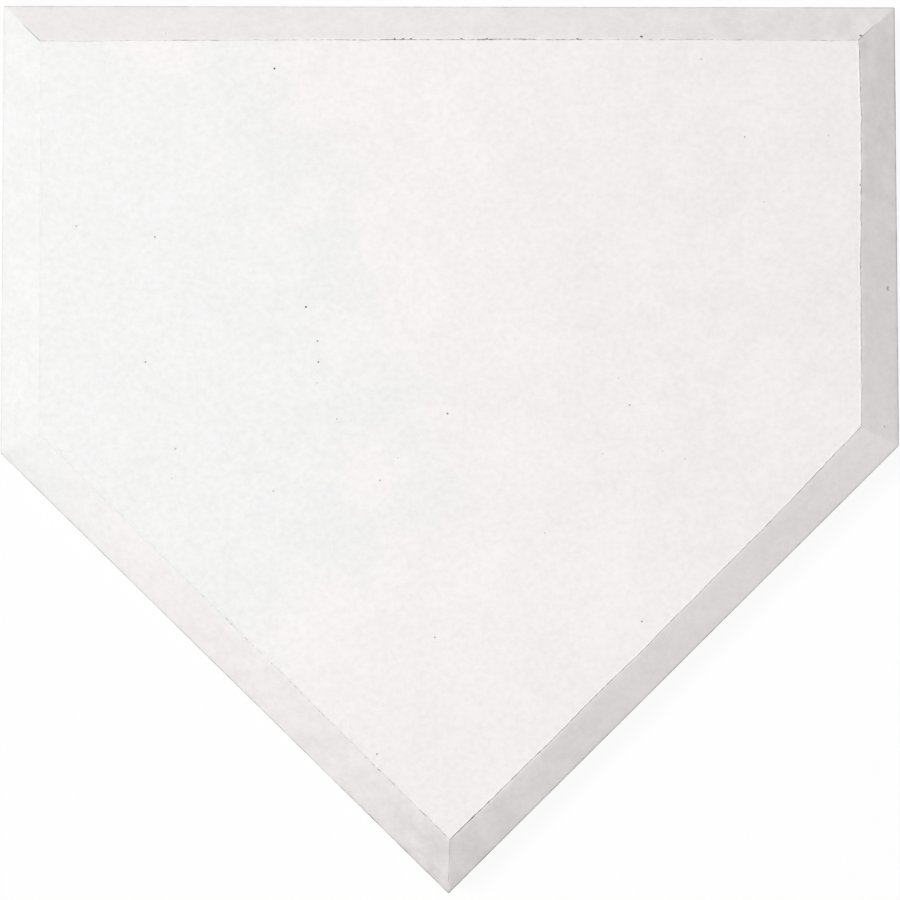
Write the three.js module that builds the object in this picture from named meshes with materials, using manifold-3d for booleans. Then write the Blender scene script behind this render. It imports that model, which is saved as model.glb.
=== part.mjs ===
// A wood-filled baseball home plate: a moulded rubber cover over three boards, nailed through its skirt.
// Millimetres, +Z up out of the face that is played on, +Y towards the pitcher, the point at -Y.
// The origin is on the underside, in the middle of the plate's width and depth.

import * as THREE from 'three';
import { mergeVertices } from 'three/addons/utils/BufferGeometryUtils.js';
import Module from 'manifold-3d';

const wasm = await Module();
wasm.setup();

// Plan of the plate
const FRONT_LENGTH = 431.8; // front edge, 17 in
const SIDE_LENGTH = 215.9; // each side edge, 8.5 in
const POINT_DEPTH = 215.9; // from the shoulders back to the point, 8.5 in

// Rubber cover
const TOP_THICKNESS = 19.05; // rubber over the core, 3/4 in
const BEVEL_WIDTH = 19.05; // in plan, from the skirt to the flat top, 3/4 in
const BEVEL_DROP = 12.7; // from the flat top down to the skirt, 1/2 in
const MOULD_STEP = 0.5; // the flat top stands this proud of the bevel at the trimmed mould line
const EDGE_RADIUS = 1.5; // between the bevel and the skirt
const EDGE_STEPS = 4;
const SKIRT_WALL = 5.5;

// Core of lumber
const BOARD_NAMES = ['left', 'centre', 'right'];
const BOARD_THICKNESS = 38.1; // nominal 2 in lumber
const BOARD_EASE = 3; // radius of the planed long edges
const EASE_STEPS = 4;
const BOARD_GAP = 0.5; // between two boards
const CORE_CLEARANCE = 0.4; // between the core and the skirt, all round
const BED_CLEARANCE = 0.3; // between the core and the rubber over it

// Galvanised clout nails
const NAIL_LENGTH = 31.75; // 1 1/4 in
const NAIL_SHANK_RADIUS = 1.6;
const NAIL_HEAD_RADIUS = 4.75;
const NAIL_HEAD_THICKNESS = 1.3;
const NAIL_HEAD_CHAMFER = 0.35;
const NAIL_POINT_LENGTH = 5;
const NAIL_SIDES = 20;
const NAIL_RECESS = 0.3; // the head lies this far below the skirt's face
const NAIL_CLEARANCE = 0.3; // between a nail and the rubber and wood round it
const DIMPLE_FLARE = 1.6; // how much wider the rubber's dimple is at the skirt's face than at the head

// How many nails go through each edge of the skirt into each board
const NAIL_COUNTS = {
  front: { left: 2, centre: 2, right: 2 },
  left: { left: 2 },
  point_left: { left: 2, centre: 1 },
  point_right: { centre: 1, right: 2 },
  right: { right: 2 },
};

const CUT_MARGIN = 1; // how far a cutting solid runs past what it cuts

const plateDepth = SIDE_LENGTH + POINT_DEPTH;
const bedHeight = BOARD_THICKNESS + BED_CLEARANCE;
const plateHeight = bedHeight + TOP_THICKNESS;
const frontY = plateDepth / 2;
const shoulderY = frontY - SIDE_LENGTH;
const pointY = -plateDepth / 2;
const nailHeight = BOARD_THICKNESS / 2;

// The plate's outline, counter-clockwise from above, and its edges in the same order
const outline = [
  new THREE.Vector2(FRONT_LENGTH / 2, frontY),
  new THREE.Vector2(-FRONT_LENGTH / 2, frontY),
  new THREE.Vector2(-FRONT_LENGTH / 2, shoulderY),
  new THREE.Vector2(0, pointY),
  new THREE.Vector2(FRONT_LENGTH / 2, shoulderY),
];
const edges = Object.keys(NAIL_COUNTS).map((name, i) => ({
  name,
  start: outline[i],
  end: outline[(i + 1) % outline.length],
}));

function inwardNormal(start, end) {
  const along = end.clone().sub(start).normalize();
  return new THREE.Vector2(-along.y, along.x);
}

// The outline moved inwards by a distance, its corners kept sharp
function insetOutline(distance) {
  return outline.map((corner, i) => {
    const before = inwardNormal(outline.at(i - 1), corner);
    const after = inwardNormal(corner, outline[(i + 1) % outline.length]);
    const mitre = before.clone().add(after).divideScalar(1 + before.dot(after));
    return corner.clone().addScaledVector(mitre, distance);
  });
}

// A geometry with shared vertices and no folded triangles, positions only
function weld(geometry) {
  const bare = geometry.clone();
  bare.deleteAttribute('normal');
  bare.deleteAttribute('uv');
  const merged = mergeVertices(bare);
  const kept = [];
  for (let i = 0; i < merged.index.count; i += 3) {
    const [a, b, c] = [0, 1, 2].map((k) => merged.index.getX(i + k));
    if (a !== b && b !== c && c !== a) kept.push(a, b, c);
  }
  merged.setIndex(kept);
  return merged;
}

function toSolid(geometry) {
  const welded = weld(geometry);
  const vertProperties = new Float32Array(welded.attributes.position.array);
  const triVerts = new Uint32Array(welded.index.array);
  return new wasm.Manifold(new wasm.Mesh({ numProp: 3, vertProperties, triVerts }));
}

function toGeometry(solid) {
  const { vertProperties, triVerts } = solid.getMesh();
  const geometry = new THREE.BufferGeometry();
  geometry.setAttribute('position', new THREE.BufferAttribute(vertProperties, 3));
  geometry.setIndex(new THREE.BufferAttribute(triVerts, 1));
  return geometry;
}

// A closed solid through rings of the outline, each { inset, z }, from the lowest up
function loftOutline(rings) {
  const sides = outline.length;
  const positions = rings.flatMap((ring) => (
    insetOutline(ring.inset).flatMap((corner) => [corner.x, corner.y, ring.z])
  ));
  const index = [];
  for (let k = 0; k + 1 < rings.length; k += 1) {
    for (let i = 0; i < sides; i += 1) {
      const low = k * sides + i;
      const lowNext = k * sides + (i + 1) % sides;
      index.push(low, lowNext, lowNext + sides, low, lowNext + sides, low + sides);
    }
  }
  const top = (rings.length - 1) * sides;
  for (let i = 1; i + 1 < sides; i += 1) {
    index.push(0, i + 1, i);
    index.push(top, top + i, top + i + 1);
  }
  const geometry = new THREE.BufferGeometry();
  geometry.setAttribute('position', new THREE.Float32BufferAttribute(positions, 3));
  geometry.setIndex(index);
  return geometry;
}

// A prism of the outline moved inwards, from below the underside up to a height
function outlinePrism(inset, top) {
  const shape = new THREE.Shape(insetOutline(inset));
  const prism = new THREE.ExtrudeGeometry(shape, { depth: top + CUT_MARGIN, bevelEnabled: false });
  return prism.translate(0, 0, -CUT_MARGIN);
}

// The rounded corner where the skirt turns into the bevel, as rings
function edgeRings() {
  const bevelSlope = Math.atan2(BEVEL_DROP - MOULD_STEP, BEVEL_WIDTH);
  const turn = Math.PI / 2 - bevelSlope;
  const centreZ = plateHeight - BEVEL_DROP - EDGE_RADIUS * Math.tan(turn / 2);
  return Array.from({ length: EDGE_STEPS + 1 }, (_, i) => {
    const angle = turn * i / EDGE_STEPS;
    return {
      inset: EDGE_RADIUS * (1 - Math.cos(angle)),
      z: centreZ + EDGE_RADIUS * Math.sin(angle),
    };
  });
}

// Boards side by side across the core, as stretches of X
const coreInset = SKIRT_WALL + CORE_CLEARANCE;
const coreWidth = FRONT_LENGTH - 2 * coreInset;
const boardPitch = (coreWidth + BOARD_GAP) / BOARD_NAMES.length;
const boards = BOARD_NAMES.map((name, i) => {
  const left = -coreWidth / 2 + i * boardPitch;
  return { name, left, right: left + boardPitch - BOARD_GAP };
});

// The stretch of an edge that lies along a board, as { start, end }
function edgeAlongBoard(edge, board) {
  const run = edge.end.x - edge.start.x;
  if (run === 0) return edge;
  const shareAt = (x) => THREE.MathUtils.clamp((x - edge.start.x) / run, 0, 1);
  const shares = [shareAt(board.left), shareAt(board.right)];
  return {
    start: edge.start.clone().lerp(edge.end, Math.min(...shares)),
    end: edge.start.clone().lerp(edge.end, Math.max(...shares)),
  };
}

// Points spread evenly along the stretch of an edge that lies along a board, one for each nail
function nailSeats(edge, board) {
  const count = NAIL_COUNTS[edge.name][board.name] ?? 0;
  const stretch = edgeAlongBoard(edge, board);
  return Array.from({ length: count }, (_, i) => (
    stretch.start.clone().lerp(stretch.end, (i + 0.5) / count)
  ));
}

// Where each nail goes in at the skirt's face, numbered along its edge, counter-clockwise from above
function nailStations() {
  return edges.flatMap((edge) => {
    const inward = inwardNormal(edge.start, edge.end);
    const outward = new THREE.Vector3(-inward.x, -inward.y, 0);
    const seats = boards.flatMap((board) => nailSeats(edge, board));
    seats.sort((a, b) => a.distanceTo(edge.start) - b.distanceTo(edge.start));
    return seats.map((seat, i) => ({
      name: `nail_${edge.name}_${i + 1}`,
      seat: new THREE.Vector3(seat.x, seat.y, nailHeight),
      turn: new THREE.Quaternion().setFromUnitVectors(new THREE.Vector3(0, 1, 0), outward),
    }));
  });
}

// A turned solid about +Y, from a profile of [radius, y] that starts and ends on the axis
function turned(profile) {
  const points = profile.map(([radius, y]) => new THREE.Vector2(radius, y));
  return new THREE.LatheGeometry(points, NAIL_SIDES);
}

// Nail heights are along its own axis, from the skirt's face, with the head outwards
const headFace = -NAIL_RECESS;
const headSeat = headFace - NAIL_HEAD_THICKNESS;
const nailTip = headFace - NAIL_LENGTH;
const pointStart = nailTip + NAIL_POINT_LENGTH;
const boreRadius = NAIL_SHANK_RADIUS + NAIL_CLEARANCE;

function nailGeometry() {
  return weld(turned([
    [0, nailTip],
    [NAIL_SHANK_RADIUS, pointStart],
    [NAIL_SHANK_RADIUS, headSeat],
    [NAIL_HEAD_RADIUS, headSeat],
    [NAIL_HEAD_RADIUS, headFace - NAIL_HEAD_CHAMFER],
    [NAIL_HEAD_RADIUS - NAIL_HEAD_CHAMFER, headFace],
    [0, headFace],
  ]));
}

// What a nail takes out of the rubber: a dimple round its head and a bore through the skirt
function dimpleCutter() {
  const floor = headSeat - NAIL_CLEARANCE;
  const floorRadius = NAIL_HEAD_RADIUS + NAIL_CLEARANCE;
  const flareSlope = DIMPLE_FLARE / -floor;
  const boreEnd = -SKIRT_WALL - CORE_CLEARANCE / 2;
  return turned([
    [0, boreEnd],
    [boreRadius, boreEnd],
    [boreRadius, floor],
    [floorRadius, floor],
    [floorRadius + DIMPLE_FLARE + flareSlope * CUT_MARGIN, CUT_MARGIN],
    [0, CUT_MARGIN],
  ]);
}

// What a nail takes out of a board
function boreCutter() {
  return turned([
    [0, nailTip - NAIL_CLEARANCE],
    [boreRadius, pointStart],
    [boreRadius, 0],
    [0, 0],
  ]);
}

function placed(geometry, station) {
  const size = new THREE.Vector3(1, 1, 1);
  return geometry.applyMatrix4(new THREE.Matrix4().compose(station.seat, station.turn, size));
}

function coverGeometry(stations) {
  const shell = loftOutline([
    { inset: 0, z: 0 },
    ...edgeRings(),
    { inset: BEVEL_WIDTH, z: plateHeight - MOULD_STEP },
    { inset: BEVEL_WIDTH, z: plateHeight },
  ]);
  let cover = toSolid(shell).subtract(toSolid(outlinePrism(SKIRT_WALL, bedHeight)));
  for (const station of stations) {
    cover = cover.subtract(toSolid(placed(dimpleCutter(), station)));
  }
  return toGeometry(cover);
}

// A length of lumber with planed edges, front to back, before it is sawn to the outline
function lumber(board) {
  const middleX = (board.left + board.right) / 2;
  const middleZ = BOARD_THICKNESS / 2;
  const reachX = (board.right - board.left) / 2 - BOARD_EASE;
  const reachZ = BOARD_THICKNESS / 2 - BOARD_EASE;
  const section = new THREE.Shape();
  section.absarc(middleX + reachX, middleZ + reachZ, BOARD_EASE, 0, Math.PI / 2);
  section.absarc(middleX - reachX, middleZ + reachZ, BOARD_EASE, Math.PI / 2, Math.PI);
  section.absarc(middleX - reachX, middleZ - reachZ, BOARD_EASE, Math.PI, 3 * Math.PI / 2);
  section.absarc(middleX + reachX, middleZ - reachZ, BOARD_EASE, 3 * Math.PI / 2, 2 * Math.PI);
  const stock = new THREE.ExtrudeGeometry(section, {
    depth: plateDepth,
    bevelEnabled: false,
    curveSegments: EASE_STEPS,
  });
  return stock.rotateX(Math.PI / 2).translate(0, frontY, 0);
}

function boardGeometry(board, stations) {
  const core = outlinePrism(coreInset, BOARD_THICKNESS + CUT_MARGIN);
  let sawn = toSolid(lumber(board)).intersect(toSolid(core));
  for (const station of stations) {
    sawn = sawn.subtract(toSolid(placed(boreCutter(), station)));
  }
  return toGeometry(sawn);
}

function namedMesh(name, geometry, finish) {
  const material = new THREE.MeshStandardMaterial({ ...finish, flatShading: true });
  const mesh = new THREE.Mesh(geometry, material);
  mesh.name = name;
  return mesh;
}

const WHITE_RUBBER = { color: 0xf3f0ef, roughness: 0.62, metalness: 0 };
const TREATED_PINE = { color: 0xc3ab76, roughness: 0.8, metalness: 0 };
const ZINC = { color: 0xa9adaf, roughness: 0.45, metalness: 0.9 };

const stations = nailStations();
const homePlate = new THREE.Group();
homePlate.add(namedMesh('rubber_cover', coverGeometry(stations), WHITE_RUBBER));
for (const board of boards) {
  homePlate.add(namedMesh(`core_board_${board.name}`, boardGeometry(board, stations), TREATED_PINE));
}
for (const station of stations) {
  const nail = namedMesh(station.name, nailGeometry(), ZINC);
  nail.position.copy(station.seat);
  nail.quaternion.copy(station.turn);
  homePlate.add(nail);
}

export default homePlate;
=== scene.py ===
# A wood-filled baseball home plate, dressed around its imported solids.
# Metres, +Z up out of the face that is played on, +Y towards the pitcher, the point at -Y.
import math

import bmesh
import bpy
from mathutils import Matrix, Vector, noise
from mathutils.bvhtree import BVHTree


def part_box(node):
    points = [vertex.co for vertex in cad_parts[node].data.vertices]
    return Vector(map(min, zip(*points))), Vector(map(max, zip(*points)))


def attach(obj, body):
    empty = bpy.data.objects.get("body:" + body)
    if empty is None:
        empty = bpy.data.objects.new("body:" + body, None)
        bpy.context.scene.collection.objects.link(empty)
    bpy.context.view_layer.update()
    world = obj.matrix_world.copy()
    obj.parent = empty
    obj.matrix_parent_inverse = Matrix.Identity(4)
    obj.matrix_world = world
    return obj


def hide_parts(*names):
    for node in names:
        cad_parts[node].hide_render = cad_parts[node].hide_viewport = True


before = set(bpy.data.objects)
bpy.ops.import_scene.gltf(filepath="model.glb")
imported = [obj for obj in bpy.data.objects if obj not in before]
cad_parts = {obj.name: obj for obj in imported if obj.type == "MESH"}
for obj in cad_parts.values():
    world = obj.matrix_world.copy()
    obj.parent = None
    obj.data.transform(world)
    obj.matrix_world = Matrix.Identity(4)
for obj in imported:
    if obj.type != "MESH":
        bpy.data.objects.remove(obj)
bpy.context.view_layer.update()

MM = 0.001

# Sizes of the rubber cover
SIDE_LENGTH = 215.9 * MM
BEVEL_WIDTH = 19.05 * MM
BEVEL_DROP = 12.7 * MM
MOULD_STEP = 0.3 * MM
SEAM_OFFSET = 0.35 * MM
SEAM_INSET = BEVEL_WIDTH - SEAM_OFFSET
EDGE_RADIUS = 1.5 * MM
CORNER_EASE = 0.2 * MM
SKIRT_WALL = 5.5 * MM
BED_CLEARANCE = 0.3 * MM
RIM_ROUND = 0.8 * MM
RIM_CUT = 0.3 * RIM_ROUND

# How finely the cover is cut, and how close to a corner its nearest points lie
EDGE_STEPS = 5
SKIRT_ROWS = 4
BEVEL_ROWS = 8
POINT_SPACING = 0.6 * MM
CORNER_PINCH = 0.4 * MM
# Points this close are merged, and a face with a wider angle than this is split
SAME_POINT = 0.002 * MM
STRAIGHT = math.radians(178)

cover_low, cover_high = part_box("rubber_cover")
BED_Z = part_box("core_board_centre")[1].z + BED_CLEARANCE
TOP_Z = cover_high.z
EDGE_Z = TOP_Z - BEVEL_DROP
BEVEL_SLOPE = (BEVEL_DROP - MOULD_STEP) / SEAM_INSET

# The camera hangs over the middle of the plate, and the plate's width fills its square picture
CAMERA_RISE = 1.5
PICTURE_SIZE = 900
PIXEL = (cover_high.x - cover_low.x) / PICTURE_SIZE

# The plate's corners, counter-clockwise from above, and the edge that starts at each
CORNER_NAMES = ("front_right", "front_left", "left_shoulder", "point", "right_shoulder")
EDGE_NAMES = ("front", "left", "point_left", "point_right", "right")
SHOULDER_Y = cover_high.y - SIDE_LENGTH
OUTLINE = (
    Vector((cover_high.x, cover_high.y)),
    Vector((cover_low.x, cover_high.y)),
    Vector((cover_low.x, SHOULDER_Y)),
    Vector((0.0, cover_low.y)),
    Vector((cover_high.x, SHOULDER_Y)),
)
SIDES = len(OUTLINE)

# How far this moulding strays from the true outline, in millimetres, at the skirt's top edge
EDGE_STRAY = {
    "front_right": (-0.7, -1.7),
    "front_left": (-0.1, -1.0),
    "left_shoulder": (-1.6, -1.6),
    "point": (-0.7, 1.2),
    "right_shoulder": (1.4, 2.1),
}
# The same at the trimmed mould line round the flat top
SEAM_STRAY = {
    "front_right": (-1.1, -0.5),
    "front_left": (0.5, -0.9),
    "left_shoulder": (-0.4, 0.0),
    "point": (0.0, 2.4),
    "right_shoulder": (0.3, 3.6),
}
# How far the mould line bows inwards, in millimetres, at a quarter, a half and three quarters of
# each edge
SEAM_BOW = {
    "front": (-0.45, -0.53, -0.22),
    "left": (0.0, 0.0, 0.0),
    "point_left": (-0.3, 0.15, 0.0),
    "point_right": (-0.85, -1.2, -1.25),
    "right": (-0.1, -0.4, -1.15),
}
# How far the trimmed mould line wanders on each edge
SEAM_WANDER = {
    "front": 0.35 * MM,
    "left": 0.25 * MM,
    "point_left": 0.4 * MM,
    "point_right": 0.4 * MM,
    "right": 0.8 * MM,
}
# How much a bevel's loops follow that wandering: the share of the bevel's width, to this power
WANDER_POWER = 6
# How high its torn lip stands on each edge
BURR_HEIGHT = {
    "front": 0.2 * MM,
    "left": 0.15 * MM,
    "point_left": 0.2 * MM,
    "point_right": 0.25 * MM,
    "right": 0.35 * MM,
}
# How deep the hollow behind that lip is on each edge
HOLLOW_DEPTH = {
    "front": 0.04 * MM,
    "left": 0.0,
    "point_left": 0.03 * MM,
    "point_right": 0.1 * MM,
    "right": 0.2 * MM,
}
# How far the lip's edge lies below the flat top, and how far from it lie the lip's crest, the hollow
# behind it and the loops where the flat top settles
LIP_DIP = 0.04 * MM
LIP_CREST = 0.2 * MM
LIP_HOLLOW = 0.7 * MM
LIP_SETTLING = 1.6 * MM
LIP_SETTLED = 2.5 * MM
FLAT_START = 3.2 * MM
# How open its crack is, in even steps along each edge: it only opens in spots below 0, and gapes
# above 1
SEAM_OPENING = {
    "front": (0.4, 0.15, 0.35, 1.55, 1.4, 1.3, 0.6, 0.4, 0.4),
    "left": (-1.0, -0.8, -1.0),
    "point_left": (-1.2, -0.6, 0.0, 0.2, 0.4),
    "point_right": (1.55, 1.2, 0.75, 0.6, 0.6, 0.55, 0.5),
    "right": (0.45, 0.45, 0.55),
}
CRACK_DEPTH = 0.45 * MM
CRACK_HALF_WIDTH = 0.15 * MM
# The bevel flattens a little beside the crack where that is open
EASED_WIDTH = 0.6 * MM
EASED_DROP = 0.22 * MM
# How far from a corner the marks of the mould line fade out
SEAM_FADE = 6 * MM
# Noise along the mould line, in layers of a strength, the size of its features and a seed
WANDER_NOISE = ((0.8, 20 * MM, 3.1), (0.4, 3.5 * MM, 7.7))
OPENING_NOISE = (0.5, 14 * MM, 21.3)
TORN_NOISE = (1.0, 2.8 * MM, 12.4)
TORN_LEVEL = 0.55
# The crack's flecks: their strength, what a gape adds to it, the size of the flecks and a seed
FLECK_STRENGTH = 1.3
FLECK_GAIN = 2
FLECK_SIZE = 1.9 * MM
FLECK_SEED = 5.9
# The mould's joint at each mitre: its depth, and the share of the bevel's width where it starts
MITRE_JOINT = {
    "front_right": (0.4 * MM, 0.4),
    "front_left": (0.36 * MM, 0.42),
    "left_shoulder": (0.0, 0.0),
    "point": (0.27 * MM, 0.0),
    "right_shoulder": (0.05 * MM, 0.0),
}
# The share of the bevel's width in which it grows to that depth, and the depth of a joint that is
# full of dirt
JOINT_GROWTH = 0.3
DEEPEST_JOINT = 0.55 * MM
# Pinholes, tears in the mould line and a dent of this moulding, each at its pixel in the camera's
# picture
LARGE_PINHOLES = ((641, 36), (860.5, 35))
DEEP_PINHOLES = ((274, 68), (305.5, 306.5), (447, 413))
OPEN_PINHOLES = (
    (318, 361.5), (317, 340.5), (379.5, 480), (641.5, 621), (145, 361.5), (376.5, 753.5),
    (860, 184.5), (884.3, 426.1),
)
FINE_PINHOLES = (
    (701, 59), (154.5, 236.5), (175, 448.5), (76, 225.5), (744.5, 136.5), (629.5, 404.5),
    (434.5, 637), (273, 490.5),
)
FAINT_PINHOLES = (
    (171.5, 478), (544.5, 532.5), (783, 190.5), (165.5, 32.5), (316.5, 382.5), (336.5, 418.5),
    (397.5, 457.5), (602.5, 453.5), (662.5, 450.5), (684.5, 458.5), (763.5, 201.5), (828, 135),
    (618, 377.5),
)
SEAM_TEARS = ((394.3, 39), (402.8, 38.8), (410.5, 39), (461, 38.8), (486.3, 38.9), (577, 39))
DENTS = ((888, 288),)
# Each kind of pit: its pixels, the radius of the ball that it is the print of, how far that ball's
# centre stands off the surface, and how dirty the pit is, from 0 to 1
PITS = (
    (LARGE_PINHOLES, 0.76 * MM, 0.0, 1.0),
    (DEEP_PINHOLES, 0.52 * MM, 0.0, 1.0),
    (OPEN_PINHOLES, 0.46 * MM, 0.0, 0.6),
    (FINE_PINHOLES, 0.5 * MM, 0.0, 0.4),
    (FAINT_PINHOLES, 0.38 * MM, 0.0, 0.32),
    (DENTS, 2.2 * MM, 1.7 * MM, 0.5),
)
TEAR_RADIUS = 0.5 * MM
TEAR_DEPTH = 0.55 * MM
PIT_SUBDIVISIONS = 2
# The share of a pit's depth that stays clean at its lip, and how far past its ball dirt is looked for
PIT_CLEAN_LIP = 0.1
PIT_SLACK = 1.02
# Painted shade along the skirt's top edge on each side, from 0 to 1: darkest on the right, lightest on
# the left, which faces the lamp
EDGE_SHADE = {"front": 0.33, "left": 0.12, "point_left": 0.42, "point_right": 0.46, "right": 0.56}
# How far that painted shade reaches down the skirt
EDGE_SHADE_REACH = 0.8 * MM
# Its speckles, in layers of a strength, the size of its features and a seed, and the least of it
SPECKLE_NOISE = ((0.9, 3.2 * MM, 31.7), (0.6, 17 * MM, 2.6))
LEAST_SPECKLE = 0.2
# Painted shade on the bevel at its foot, in even steps along each side, darkest towards the point and
# the front right corner
BEVEL_SHADE = {
    "front": (0.11, 0.07, 0.02, 0.02, 0.02),
    "left": (0.045, 0.035),
    "point_left": (0.045, 0.025, 0.065, 0.1, 0.28),
    "point_right": (0.175, 0.07, 0.02, 0.005, 0.01),
    "right": (0.035, 0.05, 0.078, 0.1, 0.095),
}
# The same painted shade at the mould line, on the sides where it is different
INNER_SHADE = {
    "point_left": (0.0, 0.0, 0.05, 0.08, 0.16),
    "point_right": (0.085, 0.042, 0.012, 0.0, 0.0),
}
# Edges that turn by more than this, in degrees, are shaded sharp
COVER_SHARP = 28
NAIL_SHARP = 40


# Objects

def to_object(bm, name):
    mesh = bpy.data.meshes.new(name)
    bm.to_mesh(mesh)
    bm.free()
    piece = bpy.data.objects.new(name, mesh)
    bpy.context.scene.collection.objects.link(piece)
    return piece


def shade(piece, sharp_degrees):
    piece.data.shade_smooth()
    piece.data.set_sharp_from_angle(angle=math.radians(sharp_degrees))


def give(piece, material):
    piece.data.materials.clear()
    piece.data.materials.append(material)


# Outline of the plate at any inset

def inward_normal(edge):
    along = (OUTLINE[(edge + 1) % SIDES] - OUTLINE[edge]).normalized()
    return Vector((-along.y, along.x))


def mitre(corner):
    before = inward_normal(corner - 1)
    after = inward_normal(corner)
    return (before + after) / (1 + before.dot(after))


def stray_corners(stray):
    return [Vector(stray[name]) * MM for name in CORNER_NAMES]


def ring(
    inset, z, stray=0.0, seam=0.0, burr=0.0, hollow=0.0, crack=0.0, gape=0.0, eased=0.0, bevel=None,
    edge=0.0,
):
    """One loop round the cover.

    stray runs from 0, true, through 1, the skirt's edge, to 2, the mould line. seam is how much the
    loop follows the mould line's wandering, burr how far it is up the torn lip, hollow how far down
    the hollow behind that lip, crack how deep it lies in the crack, gape how far it moves inwards
    where the crack gapes, eased how much it sinks beside the crack, bevel the share of the bevel's
    width where it lies, if it does, and edge how much of the painted shade of the skirt's top edge
    it has.
    """
    edge_stray = stray_corners(EDGE_STRAY)
    seam_stray = stray_corners(SEAM_STRAY)
    corners = []
    for i in range(SIDES):
        if stray <= 1:
            moved = edge_stray[i] * stray
        else:
            moved = edge_stray[i].lerp(seam_stray[i], stray - 1)
        corners.append(OUTLINE[i] + mitre(i) * inset + moved)
    return {
        "corners": corners, "z": z, "stray": stray, "seam": seam, "burr": burr, "hollow": hollow,
        "crack": crack, "gape": gape, "eased": eased, "bevel": bevel, "edge": edge,
    }


def rim_and_skirt_rings(round_low):
    """Loops from the cavity's ceiling down its wall, round the rim and up the skirt."""
    rings = [
        ring(SKIRT_WALL, BED_Z),
        ring(SKIRT_WALL, RIM_ROUND),
        ring(SKIRT_WALL - RIM_ROUND, 0.0),
        ring(RIM_ROUND, 0.0),
        ring(RIM_CUT, RIM_CUT),
        ring(0.0, RIM_ROUND),
    ]
    for row in range(1, SKIRT_ROWS):
        share = row / SKIRT_ROWS
        rings.append(ring(0.0, round_low * share, stray=share))
    rings.append(ring(0.0, round_low - EDGE_SHADE_REACH, stray=1 - EDGE_SHADE_REACH / round_low))
    return rings


def bevel_rings(round_low, turn):
    """Loops round the skirt's top edge and up the bevel."""
    rings = []
    for step in range(EDGE_STEPS + 1):
        angle = turn * step / EDGE_STEPS
        inset = EDGE_RADIUS * (1 - math.cos(angle))
        z = round_low + EDGE_RADIUS * math.sin(angle)
        rings.append(ring(inset, z, stray=1.0, bevel=0.0, edge=1 - (step / EDGE_STEPS) ** 2))
    for row in range(1, BEVEL_ROWS):
        share = row / BEVEL_ROWS
        inset = SEAM_INSET * share
        z = EDGE_Z + inset * BEVEL_SLOPE
        rings.append(ring(inset, z, stray=1 + share, bevel=share, seam=share ** WANDER_POWER))
    return rings


def seam_rings():
    """Loops through the crack of the mould line, over its torn lip and onto the flat top."""
    shoulder = SEAM_INSET - CRACK_HALF_WIDTH
    shoulder_z = EDGE_Z + shoulder * BEVEL_SLOPE
    eased = shoulder - EASED_WIDTH
    eased_z = EDGE_Z + eased * BEVEL_SLOPE
    crack_z = TOP_Z - MOULD_STEP
    lip = SEAM_INSET + CRACK_HALF_WIDTH
    return [
        ring(eased, eased_z, stray=2.0, seam=1.0, bevel=1.0),
        ring(shoulder, shoulder_z, stray=2.0, seam=1.0, bevel=1.0, eased=1.0, gape=-1.0),
        ring(SEAM_INSET, crack_z, stray=2.0, seam=1.0, bevel=1.0, crack=1.0),
        ring(lip, TOP_Z - LIP_DIP, stray=2.0, seam=1.0, burr=0.7, crack=0.05, gape=1.0),
        ring(lip + LIP_CREST, TOP_Z, stray=2.0, seam=1.0, burr=1.0, gape=1.0),
        ring(lip + LIP_HOLLOW, TOP_Z, stray=2.0, seam=0.85, hollow=1.0, gape=0.6),
        ring(lip + LIP_SETTLING, TOP_Z, stray=2.0, seam=0.45),
        ring(lip + LIP_SETTLED, TOP_Z, stray=2.0),
        ring(lip + FLAT_START, TOP_Z, stray=2.0),
    ]


def cover_rings():
    turn = math.pi / 2 - math.atan(BEVEL_SLOPE)
    round_low = EDGE_Z - EDGE_RADIUS * math.tan(turn / 2)
    return rim_and_skirt_rings(round_low) + bevel_rings(round_low, turn) + seam_rings()


def clamp(value):
    return min(max(value, 0.0), 1.0)


def smooth_step(share):
    share = clamp(share)
    return share * share * (3 - 2 * share)


def seam_noise(place, strength, size, seed):
    """Smooth noise at a place along the outline, with features of a size, both in metres."""
    return strength * noise.noise(Vector((place / size, seed, 0.5)))


def layered_noise(place, layers):
    return sum(seam_noise(place, *layer) for layer in layers)


def along_side(values, share):
    """A value at a share of a side, from its values in even steps from the side's start to its end."""
    spot = share * (len(values) - 1)
    before = min(int(spot), len(values) - 2)
    return values[before] + (values[before + 1] - values[before]) * smooth_step(spot - before)


def crack_opening(name, share, place):
    """How open the crack is at a share of a side, without its noise and with it."""
    even = along_side(SEAM_OPENING[name], share)
    strength = FLECK_STRENGTH + FLECK_GAIN * max(even - 1, 0.0)
    flecks = seam_noise(place, strength, FLECK_SIZE, FLECK_SEED)
    return even, even + (seam_noise(place, *OPENING_NOISE) + flecks)


def painted_shade_at(name, share, place, loop):
    """How much painted shade a loop has at a share of a side: speckled on the skirt's top edge, even on
    the bevel.
    """
    speckle = max(1 + layered_noise(place, SPECKLE_NOISE), LEAST_SPECKLE)
    darkening = EDGE_SHADE[name] * loop["edge"] * speckle
    if loop["bevel"] is not None:
        foot = along_side(BEVEL_SHADE[name], share)
        inner = along_side(INNER_SHADE.get(name, BEVEL_SHADE[name]), share)
        darkening += foot + (inner - foot) * loop["bevel"]
    return darkening


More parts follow.
